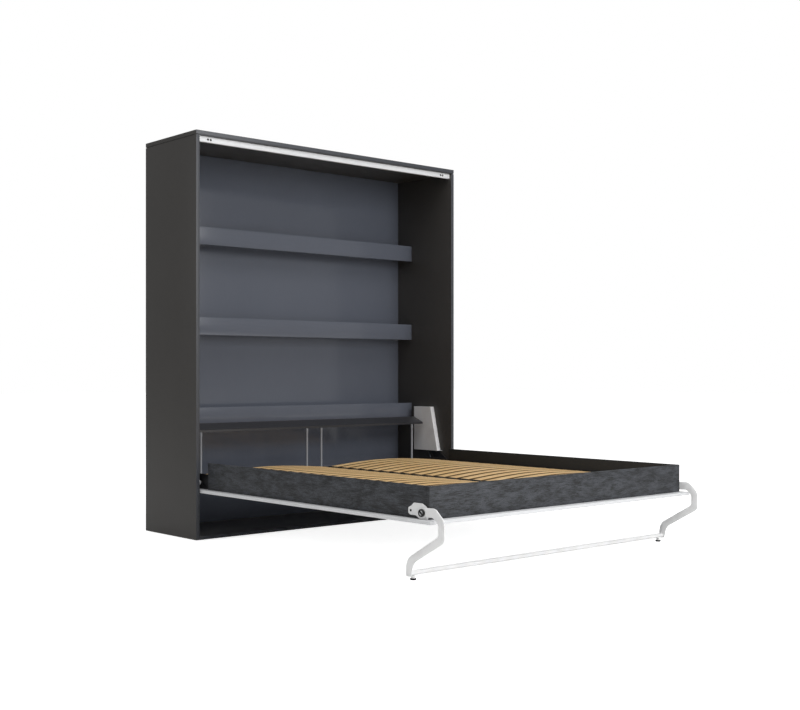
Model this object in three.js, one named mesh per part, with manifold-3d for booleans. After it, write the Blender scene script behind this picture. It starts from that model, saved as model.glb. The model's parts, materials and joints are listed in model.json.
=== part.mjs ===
// A murphy wall bed: a shallow cabinet, a slatted bed that folds up into it about a steel axle,
// a U-shaped leg that folds over the foot end, and two gas springs that carry the bed's weight.
// Millimetres, +Z up, +X to the right, +Y towards the wall. The heights are above the floor and
// every depth below is counted from the cabinet's front plane; the last group moves the whole
// bed so that the origin lies on the floor in the middle of its bounding box.

import * as THREE from "three";
import { mergeVertices } from "three/addons/utils/BufferGeometryUtils.js";
import Module from "manifold-3d";

const wasm = await Module();
wasm.setup();

// Cabinet
const cabinetWidth = 1965;
const cabinetHeight = 2178;
const cabinetDepth = 505;
const board = 22;
const shadowGap = 4;
const glideHeight = 5;
const bottomBoard = 18;
const backInnerFace = 484;
const backBoard = 18;
const railHeight = 100;
const railBoard = 18;
const railFace = 357;
const railBottoms = { upper: 1621, middle: 1107, lower: 594 };
const stripBottom = 2122;
const stripRecess = 16;
const stripBoard = 18;

// Bed
const bedAxleDepth = 51;
const bedAxleHeight = 305;
const doorHalfWidth = 957.5;
const doorBottom = 254;
const doorBoard = 16;
const doorFoot = -1702;
const doorHead = 324;
const boxHalfWidth = 924.5;
const boxBoard = 16;
const boxTop = 412;
const boxFoot = -1663;
const boxHead = -24;
const slatCount = 20;
const slatPitch = 86;
const slatWidth = 56;
const slatThickness = 8;
const firstSlat = 62;
const slatEndTop = 340;
const slatCrown = 24;
const postDepth = 206;
const postRadius = 6.25;
const postTop = 561.4;
const postPlaces = { outer: 812.5, inner: 55.5 };
const headBoardHalfWidth = 909.5;

// Leg
const legPivotDepth = -1633;
const legPivotHeight = 298.5;
const legReach = 1762;
const legPlate = 5.5;
const legPlane = 932.5;
const crossbarDepth = -1547;
const crossbarHeight = 31.5;
const crossbarRadius = 13;
const footSpacing = 905.5;

// Gas springs
const springAnchor = { depth: 262, height: 612 };
const springStud = { depth: 165, height: 338 };
const springPlane = 942;
const cylinderLength = 220;
const coverFace = 929.5;
const coverSheet = 1.5;

// Clearance between faces that touch on the real bed
const gap = 0.3;

const insideHalfWidth = cabinetWidth / 2 - board;
const sideTop = cabinetHeight - board - shadowGap;
const doorTop = doorBottom + doorBoard;
const sides = [{ name: "left", sign: -1 }, { name: "right", sign: 1 }];

const finish = (color, roughness, metalness) =>
  new THREE.MeshStandardMaterial({ color, roughness, metalness });
const graphite = finish(0x3f3c38, 0.6, 0);
const greyBoard = finish(0x5a5c63, 0.6, 0);
const slate = finish(0x48484b, 0.7, 0);
const whiteBoard = finish(0xf0f0ee, 0.45, 0);
const darkBoard = finish(0x2c2c2f, 0.6, 0);
const beech = finish(0xc8a26b, 0.55, 0);
const whiteSteel = finish(0xdedede, 0.4, 0.1);
const greySteel = finish(0x96928e, 0.45, 0.3);
const blackSteel = finish(0x1d1d1f, 0.5, 0.3);
const zincSteel = finish(0xb4b6b8, 0.3, 0.9);
const rubber = finish(0x171717, 0.9, 0);

const bed = new THREE.Group();
bed.position.y = (legReach - cabinetDepth) / 2;

function add(name, geometry, material) {
  const mesh = new THREE.Mesh(geometry, material);
  mesh.name = name;
  bed.add(mesh);
}

// A box given by its lowest and highest corner.
function block(low, high) {
  const size = high.map((value, i) => value - low[i]);
  const middle = high.map((value, i) => (value + low[i]) / 2);
  return new THREE.BoxGeometry(...size).translate(...middle);
}

// A box on one side of the bed: x runs outwards from the middle plane.
function sideBlock(sign, xs, ys, zs) {
  const x = [sign * xs[0], sign * xs[1]].sort((a, b) => a - b);
  return block([x[0], ys[0], zs[0]], [x[1], ys[1], zs[1]]);
}

// A plate cut to an outline in depth and height, standing between two distances from the
// middle plane. The extrusion's own z axis becomes +X.
function plate(shape, sign, from, to, curveSegments = 10) {
  const settings = { depth: to - from, bevelEnabled: false, curveSegments };
  const geometry = new THREE.ExtrudeGeometry(shape, settings);
  geometry.applyMatrix4(new THREE.Matrix4().makeBasis(
    new THREE.Vector3(0, 1, 0), new THREE.Vector3(0, 0, 1), new THREE.Vector3(1, 0, 0)));
  return geometry.translate(sign > 0 ? from : -to, 0, 0);
}

function outline(points) {
  return new THREE.Shape(points.map(([depth, height]) => new THREE.Vector2(depth, height)));
}

function roundHole(depth, height, radius) {
  return new THREE.Path().absarc(depth, height, radius, 0, 2 * Math.PI, true);
}

// A round piece turned about a line along X: the profile is a list of [radius, distance from
// the middle plane], starting and ending on the axis or closing on itself.
function turnedAlongX(profile, sign, depth, height, segments = 28) {
  const points = profile.map(([radius, out]) => new THREE.Vector2(radius, out));
  const geometry = new THREE.LatheGeometry(points, segments);
  geometry.rotateZ(sign > 0 ? -Math.PI / 2 : Math.PI / 2);
  return geometry.translate(0, depth, height);
}

function solidOf(geometry) {
  const bare = geometry.clone();
  bare.deleteAttribute("normal");
  bare.deleteAttribute("uv");
  const merged = mergeVertices(bare, 1e-4);
  return new wasm.Manifold(new wasm.Mesh({
    numProp: 3,
    vertProperties: new Float32Array(merged.attributes.position.array),
    triVerts: new Uint32Array(merged.index.array),
  }));
}

function geometryOf(solid) {
  const mesh = solid.getMesh();
  const geometry = new THREE.BufferGeometry();
  geometry.setAttribute("position", new THREE.BufferAttribute(mesh.vertProperties, 3));
  geometry.setIndex(new THREE.BufferAttribute(mesh.triVerts, 1));
  geometry.computeVertexNormals();
  return geometry;
}

function joined(geometries) {
  const solids = geometries.map(solidOf);
  return geometryOf(solids.reduce((whole, solid) => whole.add(solid)));
}

function cut(geometry, tool) {
  return geometryOf(solidOf(geometry).subtract(solidOf(tool)));
}

// --- Cabinet -------------------------------------------------------------------------------

function addCarcass() {
  const half = cabinetWidth / 2;
  const between = insideHalfWidth - gap;
  for (const { name, sign } of sides) {
    const side = sideBlock(sign, [insideHalfWidth, half], [0, cabinetDepth],
      [glideHeight, sideTop]);
    add(`side_panel_${name}`, side, graphite);
  }
  // The top board lies over the sides on a step that leaves a shadow line.
  const top = block([-half, 0, cabinetHeight - board], [half, cabinetDepth, cabinetHeight]);
  const step = block([-half + shadowGap, shadowGap, sideTop + gap],
    [half - shadowGap, cabinetDepth - shadowGap, cabinetHeight - board + 1]);
  add("top_panel", joined([top, step]), graphite);
  add("bottom_panel", block([-between, 0, glideHeight],
    [between, backInnerFace - gap, glideHeight + bottomBoard]), graphite);
  add("back_panel", block([-between, backInnerFace, glideHeight],
    [between, backInnerFace + backBoard, sideTop]), greyBoard);
}

function addRails() {
  const between = insideHalfWidth - gap;
  for (const [name, bottom] of Object.entries(railBottoms)) {
    add(`rail_${name}`, block([-between, railFace, bottom],
      [between, railFace + railBoard, bottom + railHeight]), greyBoard);
  }
}

function addFrontStrip() {
  const between = insideHalfWidth - gap;
  const screwRadius = 6;
  const screwHead = 1.5;
  const screwHeight = 2137;
  const screwPlaces = { inner: 878.5, outer: 896.5 };
  add("front_strip", block([-between, stripRecess, stripBottom],
    [between, stripRecess + stripBoard, sideTop]), whiteBoard);
  for (const { name, sign } of sides) {
    for (const [place, out] of Object.entries(screwPlaces)) {
      const head = new THREE.CylinderGeometry(screwRadius, screwRadius, screwHead, 20);
      head.translate(sign * out, stripRecess - gap - screwHead / 2, screwHeight);
      add(`strip_screw_${name}_${place}`, head, blackSteel);
    }
  }
}

function addGlides() {
  const radius = 20;
  const rows = {
    front: { depth: 44, places: [-922.5, -297.5, 297.5, 922.5] },
    rear: { depth: 455, places: [-922.5, 922.5] },
  };
  for (const [row, { depth, places }] of Object.entries(rows)) {
    places.forEach((x, i) => {
      const glide = new THREE.CylinderGeometry(radius, radius, glideHeight - gap, 24);
      glide.rotateX(Math.PI / 2).translate(x, depth, (glideHeight - gap) / 2);
      add(`glide_${row}_${i + 1}`, glide, rubber);
    });
  }
}

// Angle brackets behind the upper rail, screwed through the back board into the wall.
function addWallBrackets() {
  const arm = 60;
  const sheet = 3;
  const width = 40;
  const place = 600;
  const bottom = railBottoms.upper + 15;
  const face = backInnerFace - gap;
  for (const { name, sign } of sides) {
    const x = sign * place;
    const upright = block([x - width / 2, face - sheet, bottom], [x + width / 2, face, bottom + arm]);
    const foot = block([x - width / 2, face - arm, bottom], [x + width / 2, face, bottom + sheet]);
    add(`wall_bracket_${name}`, joined([upright, foot]), zincSteel);
  }
}

function addSideCaps() {
  const radius = 10;
  const thickness = 2.4;
  for (const { name, sign } of sides) {
    const outer = insideHalfWidth - gap;
    const profile = [[0, outer - thickness], [radius - 1, outer - thickness],
      [radius, outer - 1], [radius, outer], [0, outer]];
    add(`side_cap_${name}`, turnedAlongX(profile, sign, 40, 226, 24), whiteBoard);
  }
}

// --- Folding mechanism ---------------------------------------------------------------------

// The plate on the cabinet side carries the axle's bush and the stud of the gas spring. Below
// and in front of the axle it stays inside the circle that the door never reaches.
function addMechanismPlates() {
  const sheet = 3.7;
  const reach = 30;
  const outer = insideHalfWidth - gap;
  const inner = outer - sheet;
  const studRadius = 4;
  for (const { name, sign } of sides) {
    const shape = new THREE.Shape();
    shape.moveTo(bedAxleDepth + 35, bedAxleHeight - reach);
    shape.lineTo(springAnchor.depth + 20, springAnchor.height - 90);
    shape.lineTo(springAnchor.depth + 20, springAnchor.height + 28);
    shape.lineTo(springAnchor.depth - 100, springAnchor.height + 28);
    shape.lineTo(bedAxleDepth + 57, bedAxleHeight + 91);
    shape.lineTo(bedAxleDepth + 50, bedAxleHeight + 81);
    shape.lineTo(bedAxleDepth - reach, bedAxleHeight + 30);
    shape.lineTo(bedAxleDepth - reach, bedAxleHeight);
    shape.absarc(bedAxleDepth, bedAxleHeight, reach, Math.PI, 1.5 * Math.PI, false);
    const stud = turnedAlongX([[0, springPlane - 7], [studRadius, springPlane - 7],
      [studRadius, inner + 1], [0, inner + 1]], sign, springAnchor.depth, springAnchor.height, 20);
    add(`mechanism_plate_${name}`, joined([plate(shape, sign, inner, outer), stud]), blackSteel);
    const bushEnd = inner - gap;
    const bushStart = boxHalfWidth + 3;
    const bush = [[8.4, bushStart], [14, bushStart], [14, bushEnd], [8.4, bushEnd], [8.4, bushStart]];
    add(`axle_bush_${name}`, turnedAlongX(bush, sign, bedAxleDepth, bedAxleHeight, 32), greySteel);
  }
}

// Sheet-steel covers with a slanted front, open towards the side panel and at the bottom.
function addCovers() {
  const back = 304;
  const front = { top: 156, bottom: 95 };
  const heights = { bottom: 393, top: 672 };
  const outer = insideHalfWidth - gap;
  const tab = 17;
  for (const { name, sign } of sides) {
    const whole = outline([[front.bottom, heights.bottom], [back, heights.bottom],
      [back, heights.top], [front.top, heights.top]]);
    const hollow = outline([[front.bottom + coverSheet, heights.bottom - 1],
      [back - coverSheet, heights.bottom - 1], [back - coverSheet, heights.top - coverSheet],
      [front.top + coverSheet, heights.top - coverSheet]]);
    const shell = cut(plate(whole, sign, coverFace, outer),
      plate(hollow, sign, coverFace + coverSheet, outer + 1));
    const foot = sideBlock(sign, [outer - 12, outer],
      [front.bottom - tab, front.bottom + 1], [heights.bottom, heights.bottom + coverSheet]);
    add(`mechanism_cover_${name}`, joined([shell, foot]), greySteel);
  }
}

// The bed's hinge plate: bolted to the side rail, with the axle and the spring's stud on it.
function addHingePlates() {
  const inner = boxHalfWidth - boxBoard + gap;
  const outer = inner + 5;
  const axleRadius = 7.8;
  const studRadius = 5;
  const below = 15;
  for (const { name, sign } of sides) {
    const shape = outline([[boxHead + gap, doorTop + 2], [doorHead - 60, doorTop + 2],
      [doorHead - 60, bedAxleHeight + 10], [springStud.depth + 22, springStud.height + below],
      [springStud.depth - 22, springStud.height + below], [boxHead + gap, bedAxleHeight + 45]]);
    const axle = turnedAlongX([[0, outer - 1], [axleRadius, outer - 1],
      [axleRadius, insideHalfWidth - 5], [0, insideHalfWidth - 5]],
      sign, bedAxleDepth, bedAxleHeight, 32);
    const stud = turnedAlongX([[0, outer - 1], [studRadius, outer - 1],
      [studRadius, springPlane - 7], [0, springPlane - 7]],
      sign, springStud.depth, springStud.height, 20);
    add(`hinge_plate_${name}`, joined([plate(shape, sign, inner, outer), axle, stud]), blackSteel);
  }
}

// The gas springs are made along their own line, from the upper stud down to the lower one.
// Their group's -Y axis runs down that line.
function addGasSprings() {
  const run = new THREE.Vector2(springStud.depth - springAnchor.depth,
    springStud.height - springAnchor.height);
  const length = run.length();
  const start = 13;
  const end = start + cylinderLength;
  const tilt = Math.atan2(run.x, -run.y);
  const eyeHole = 4.6;
  const eyeRadius = 9;
  const eyeHalf = 4;
  const wall = 2;
  const outerRadius = 10;
  const neck = 4.6;
  const rodRadius = 4;
  const rodStart = start + 8;
  const lathe = (profile) =>
    new THREE.LatheGeometry(profile.map(([r, down]) => new THREE.Vector2(r, -down)).reverse(), 24);
  const disc = (radius, half, centre) =>
    new THREE.CylinderGeometry(radius, radius, 2 * half, 24).rotateZ(Math.PI / 2)
      .translate(0, -centre, 0);
  for (const { name, sign } of sides) {
    const tube = lathe([[0, start - 6], [5, start - 6], [5, start], [outerRadius, start],
      [outerRadius, end], [neck, end], [neck, end - 4], [outerRadius - wall, end - 4],
      [outerRadius - wall, start + 4], [0, start + 4]]);
    const eye = cut(disc(eyeRadius, eyeHalf, 0), disc(eyeHole, eyeHalf + 1, 0));
    const cylinder = joined([tube, eye]);
    const piston = outerRadius - wall - 0.5;
    const rod = lathe([[0, rodStart], [piston, rodStart], [piston, rodStart + 8],
      [rodRadius, rodStart + 8], [rodRadius, length - 5], [0, length - 5]]);
    const rodEnd = joined([rod, disc(eyeRadius + 1, eyeHalf, length)]);
    for (const [part, geometry] of [[`gas_cylinder_${name}`, cylinder], [`gas_rod_${name}`, rodEnd]]) {
      // The lathe's axis is Y: it is stood up along Z and then tilted to the spring's line.
      geometry.rotateX(Math.PI / 2 + tilt);
      geometry.translate(sign * springPlane, springAnchor.depth, springAnchor.height);
      add(part, geometry, part.startsWith("gas_rod") ? zincSteel : blackSteel);
    }
  }
}

// --- Bed -----------------------------------------------------------------------------------

function addBox() {
  const low = doorTop + gap;
  const inner = boxHalfWidth - boxBoard;
  add("door_panel", block([-doorHalfWidth, doorFoot, doorBottom],
    [doorHalfWidth, doorHead, doorTop]), whiteBoard);
  add("foot_board", block([-boxHalfWidth, boxFoot, low],
    [boxHalfWidth, boxFoot + boxBoard, boxTop]), slate);
  for (const { name, sign } of sides) {
    add(`bed_side_${name}`, sideBlock(sign, [inner, boxHalfWidth],
      [boxFoot + boxBoard + gap, boxHead], [low, boxTop]), slate);
  }
}

// The slats lie on steel angles along the box sides and a T bar down the middle.
function addSteelFrame() {
  const railTop = slatEndTop - slatThickness - 8;
  const railBottom = doorTop + gap;
  const foot = boxFoot + boxBoard + gap;
  const outer = boxHalfWidth - boxBoard;
  const flange = 25;
  const steel = 4;
  const beamHalf = 28;
  const heights = [railBottom, railTop];
  const under = [railTop - steel, railTop];
  const crossStart = postDepth - 16;
  const crossEnd = postDepth + 24;
  for (const { name, sign } of sides) {
    const run = [foot, doorHead - 60];
    add(`bed_rail_${name}`, joined([sideBlock(sign, [outer - steel, outer], run, heights),
      sideBlock(sign, [outer - flange, outer], run, under)]), blackSteel);
  }
  add("centre_beam", joined([
    block([-steel / 2, foot, railBottom], [steel / 2, crossStart - gap, railTop]),
    block([-beamHalf, foot, under[0]], [beamHalf, crossStart - gap, under[1]])]), blackSteel);
  const reach = outer - flange - gap;
  add("head_crossbar", joined([
    block([-reach, crossStart, railBottom], [reach, crossStart + steel, railTop]),
    block([-reach, crossStart, under[0]], [reach, crossEnd, under[1]])]), blackSteel);
}

// One slat is an arch of even thickness: a sine hump between its ends, swept along the depth.
function slatGeometry(sign, from, to, depth) {
  const steps = 8;
  const upper = [];
  for (let i = 0; i <= steps; i += 1) {
    const t = i / steps;
    upper.push([from + (to - from) * t, slatEndTop + slatCrown * Math.sin(Math.PI * t)]);
  }
  const lower = upper.map(([out, height]) => [out, height - slatThickness]).reverse();
  const points = [...lower.reverse(), ...upper.reverse()].map(([out, height]) =>
    new THREE.Vector2(sign * out, height));
  const settings = { depth: slatWidth, bevelEnabled: false };
  const geometry = new THREE.ExtrudeGeometry(new THREE.Shape(points), settings);
  return geometry.rotateX(Math.PI / 2).translate(0, depth + slatWidth / 2, 0);
}

// Each bank is the slats of one half on the two holder strips that space them.
function addSlatBanks() {
  const inner = 14;
  const outer = 903;
  const holder = 12;
  const railTop = slatEndTop - slatThickness - 8;
  const last = firstSlat - (slatCount - 1) * slatPitch;
  const run = [last - slatWidth / 2, firstSlat + slatWidth / 2];
  for (const { name, sign } of sides) {
    const parts = [[inner, inner + holder], [outer - holder, outer]].map((xs) =>
      sideBlock(sign, xs, run, [railTop + gap, slatEndTop - 4]));
    for (let i = 0; i < slatCount; i += 1) {
      parts.push(slatGeometry(sign, inner + 2, outer - 2, firstSlat - i * slatPitch));
    }
    add(`slat_bank_${name}`, joined(parts), beech);
  }
}

// The mattress stop at the head end: four posts of round bar under a sloping board.
function addHeadStop() {
  const bottom = slatEndTop - slatThickness - 8 + gap;
  for (const { name, sign } of sides) {
    for (const [place, x] of Object.entries(postPlaces)) {
      const post = new THREE.CylinderGeometry(postRadius, postRadius, postTop - bottom, 24);
      post.rotateX(Math.PI / 2).translate(sign * x, postDepth, (postTop + bottom) / 2);
      add(`head_post_${name}_${place}`, post, greySteel);
    }
  }
  const top = outline([[postDepth - 2, 562], [postDepth + 76, 596], [postDepth + 76, 608],
    [postDepth - 2, 574]]);
  add("head_board", plate(top, 1, 0, 2 * headBoardHalfWidth).translate(-headBoardHalfWidth, 0, 0),
    darkBoard);
}

// --- Leg -----------------------------------------------------------------------------------

// Depth and height from the pivot to a point of the arm's outline.
function legPoint(depth, height) {
  return [legPivotDepth + depth, legPivotHeight + height];
}

// The arm leaves the pivot over the door's edge, bends down past it and slants back to the floor.
function armShape() {
  const shape = new THREE.Shape();
  const to = (depth, height) => shape.lineTo(...legPoint(depth, height));
  const bend = (d1, h1, d2, h2) => shape.quadraticCurveTo(...legPoint(d1, h1), ...legPoint(d2, h2));
  shape.absarc(legPivotDepth, legPivotHeight, 22, -0.75 * Math.PI, 0.5 * Math.PI, false);
  to(-60, 24);
  bend(-76, 24, -87, 14);
  to(-116, -13);
  bend(-129, -26, -129, -46);
  to(-129, -96);
  bend(-129, -112, -115, -121);
  to(34, -208);
  bend(51, -219, 58, -237);
  to(66, -270);
  bend(67, -281, 78, -281);
  to(90, -281);
  bend(100, -281, 99, -270);
  to(97, -240);
  bend(93, -204, 68, -189);
  to(-82, -99);
  bend(-93, -92, -93, -80);
  to(-93, -54);
  bend(-93, -40, -82, -32);
  bend(-68, -14, -52, -16);
  bend(-38, -18, -15.6, -15.6);
  shape.holes.push(roundHole(legPivotDepth, legPivotHeight, 6.4));
  return shape;
}

function addLeg() {
  const outer = legPlane + legPlate;
  const footTop = crossbarHeight - crossbarRadius - gap;
  for (const { name, sign } of sides) {
    add(`leg_arm_${name}`, plate(armShape(), sign, legPlane, outer, 8), whiteSteel);
    const foot = new THREE.LatheGeometry([[0, 0], [14, 0], [14, 7], [9, 8], [9, footTop],
      [0, footTop]].map(([radius, height]) => new THREE.Vector2(radius, height)), 24);
    foot.rotateX(Math.PI / 2).translate(sign * footSpacing, crossbarDepth, 0);
    add(`leg_foot_${name}`, foot, rubber);
  }
  const bar = new THREE.CylinderGeometry(crossbarRadius, crossbarRadius, 2 * (legPlane - gap), 24);
  bar.rotateZ(Math.PI / 2).translate(0, crossbarDepth, crossbarHeight);
  add("leg_crossbar", bar, whiteSteel);
}

// Fixed plates on the box sides, and the bolts with a spacer collar that the leg turns on.
function addLegPivots() {
  const inner = boxHalfWidth + gap;
  const sheet = 4;
  for (const { name, sign } of sides) {
    const shape = outline([[-24, -28], [24, -28], [48, -15], [82, -15], [93, -8], [93, 16],
      [74, 25], [60, 38.5], [8, 38.5], [-16, 26], [-24, 8]].map((point) => legPoint(...point)));
    shape.holes.push(roundHole(legPivotDepth, legPivotHeight, 6.4));
    shape.holes.push(roundHole(...legPoint(77, 4), 4));
    add(`leg_plate_${name}`, plate(shape, sign, inner, inner + sheet), whiteSteel);
    const collar = [inner + sheet + gap, legPlane - gap];
    const head = [legPlane + legPlate + gap, legPlane + legPlate + 10];
    const bolt = [[0, inner], [6, inner], [6, collar[0]], [13, collar[0]], [13, collar[1]],
      [6, collar[1]], [6, head[0]], [17, head[0]], [17, head[1] - 3], [14, head[1]], [0, head[1]]];
    add(`leg_bolt_${name}`, turnedAlongX(bolt, sign, legPivotDepth, legPivotHeight), blackSteel);
  }
}

addCarcass();
addRails();
addFrontStrip();
addGlides();
addWallBrackets();
addSideCaps();
addMechanismPlates();
addCovers();
addHingePlates();
addGasSprings();
addBox();
addSteelFrame();
addSlatBanks();
addHeadStop();
addLeg();
addLegPivots();

export default bed;
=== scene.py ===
"""The looks of a murphy wall bed: melamine boards, a slate-look bed box on a white door panel,
beech slats, powder-coated steel and a folding leg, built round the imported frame."""

import contextlib
import json
import math

import bmesh
import bpy
import numpy as np
from bpy.props import FloatProperty, FloatVectorProperty, IntProperty, PointerProperty
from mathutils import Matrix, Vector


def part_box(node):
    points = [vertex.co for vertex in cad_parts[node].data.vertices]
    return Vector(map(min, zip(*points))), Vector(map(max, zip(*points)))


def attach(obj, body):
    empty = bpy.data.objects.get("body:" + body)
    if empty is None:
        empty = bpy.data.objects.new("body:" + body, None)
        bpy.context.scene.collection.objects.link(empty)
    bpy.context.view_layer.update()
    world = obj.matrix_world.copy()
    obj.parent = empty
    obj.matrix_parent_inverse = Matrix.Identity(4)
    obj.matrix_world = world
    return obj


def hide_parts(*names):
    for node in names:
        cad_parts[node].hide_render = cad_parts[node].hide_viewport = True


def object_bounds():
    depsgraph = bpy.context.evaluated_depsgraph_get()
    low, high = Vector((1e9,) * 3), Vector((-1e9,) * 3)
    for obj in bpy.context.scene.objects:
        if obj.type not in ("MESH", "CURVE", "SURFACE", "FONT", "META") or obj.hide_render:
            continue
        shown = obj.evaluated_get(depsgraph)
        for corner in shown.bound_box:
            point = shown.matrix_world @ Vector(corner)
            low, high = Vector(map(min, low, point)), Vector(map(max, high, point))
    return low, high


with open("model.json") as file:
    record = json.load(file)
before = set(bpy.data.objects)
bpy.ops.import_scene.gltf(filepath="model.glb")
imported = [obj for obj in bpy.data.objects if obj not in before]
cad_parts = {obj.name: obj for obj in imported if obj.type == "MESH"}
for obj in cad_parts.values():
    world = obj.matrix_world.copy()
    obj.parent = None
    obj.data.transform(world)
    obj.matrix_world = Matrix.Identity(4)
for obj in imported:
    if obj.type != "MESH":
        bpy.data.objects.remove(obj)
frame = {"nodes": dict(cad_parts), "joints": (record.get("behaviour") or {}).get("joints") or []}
CAD_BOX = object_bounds()

bl_info = {
    "name": "Murphy Wall Bed",
    "version": (1, 0, 0),
    "blender": (4, 5, 0),
    "location": "3D View > Sidebar > Wall Bed",
    "description": "Builds a fold-down wall bed with its cabinet, slats, leg and folding gear",
    "category": "Add Mesh",
}

MM = 0.001
SIDES = (("left", -1), ("right", 1))


# --- Colours and material nodes --------------------------------------------------------------

NOISE = "ShaderNodeTexNoise"
MAPPING = "ShaderNodeMapping"
RANGE = "ShaderNodeMapRange"
MIX = "ShaderNodeMix"
MATHS = "ShaderNodeMath"
BUMP = "ShaderNodeBump"
ATTRIBUTE = "ShaderNodeAttribute"

# The Mix node's two colour inputs and its colour output.
FIRST, SECOND, MIXED = 6, 7, 2


def linear(text):
    """An sRGB hex colour as linear red, green, blue and alpha."""
    values = np.array([int(text[i:i + 2], 16) for i in (1, 3, 5)]) / 255
    low = values / 12.92
    high = ((values + 0.055) / 1.055) ** 2.4
    return (*np.where(values <= 0.04045, low, high).tolist(), 1.0)


def shade(colour, amount):
    """A linear colour made lighter or darker by a factor."""
    return (*[min(1.0, value * amount) for value in colour[:3]], 1.0)


def add_node(tree, kind, settings=None, links=None, out=0):
    """Adds a node, sets its properties or input values by name, links its inputs, and gives the
    output that is asked for."""
    new = tree.nodes.new(kind)
    for key, value in (settings or {}).items():
        if isinstance(key, str) and hasattr(new, key):
            setattr(new, key, value)
        else:
            new.inputs[key].default_value = value
    for key, source in (links or {}).items():
        tree.links.new(source, new.inputs[key])
    return new.outputs[out] if new.outputs else None


def new_material(name):
    """An empty material, its tree and the Object coordinates for its patterns."""
    material = bpy.data.materials.new(name)
    material.use_nodes = True
    tree = material.node_tree
    tree.nodes.clear()
    return material, tree, add_node(tree, "ShaderNodeTexCoord", out="Object")


def surfaced(material, settings, links):
    """The material with its shader: the values that are the same all over, and its patterns."""
    tree = material.node_tree
    shader = add_node(tree, "ShaderNodeBsdfPrincipled", settings, links)
    add_node(tree, "ShaderNodeOutputMaterial", links={"Surface": shader})
    return material


# --- Materials -------------------------------------------------------------------------------

def melamine(name, colour, edging, gloss):
    """Melamine-faced chipboard: resin-soaked paper pressed against a finely grained steel plate.
    The press plate leaves a pearl of about 1.5 mm, drawn at 2.5 mm so that it shows, and the
    paper's print varies slowly in tone. Faces of the 1 mm ABS edge band that look to the front
    take a colour of their own: painted light from the front."""
    material, tree, place = new_material(name)
    cloud = add_node(tree, NOISE, {"Scale": 1 / (260 * MM), "Detail": 2.0}, {"Vector": place})
    pearl = add_node(tree, NOISE, {"Scale": 1 / (2.5 * MM), "Detail": 2.0}, {"Vector": place})
    drawn = add_node(tree, MAPPING, {"Scale": (1.0, 1.0, 0.12)}, {"Vector": place})
    fibre = add_node(tree, NOISE, {"Scale": 1 / (6 * MM), "Detail": 3.0}, {"Vector": drawn})
    pale = add_node(tree, RANGE, {"From Min": 0.3, "From Max": 0.7}, {"Value": cloud})
    paper = add_node(tree, MIX, {"data_type": "RGBA", FIRST: shade(colour, 0.98),
                                 SECOND: shade(colour, 1.02)}, {0: pale}, MIXED)
    fleck = add_node(tree, RANGE, {"From Min": 0.45, "From Max": 0.75, "To Max": 0.3}, {"Value": fibre})
    flecked = add_node(tree, MIX, {"data_type": "RGBA", SECOND: shade(colour, 1.1)},
                       {0: fleck, FIRST: paper}, MIXED)
    # The faces that look to the front take the second colour: painted light from the front.
    band = add_node(tree, ATTRIBUTE, {"attribute_name": "edging"}, out="Fac")
    tone = add_node(tree, MIX, {"data_type": "RGBA", SECOND: edging}, {0: band, FIRST: flecked}, MIXED)
    rough = add_node(tree, RANGE, {"From Min": 0.3, "From Max": 0.7, "To Min": gloss - 0.05,
                                   "To Max": gloss + 0.06}, {"Value": pearl})
    relief = add_node(tree, BUMP, {"Strength": 0.35, "Distance": 0.05 * MM}, {"Height": pearl})
    return surfaced(material, {"Roughness": gloss},
                    {"Base Color": tone, "Roughness": rough, "Normal": relief})


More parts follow.
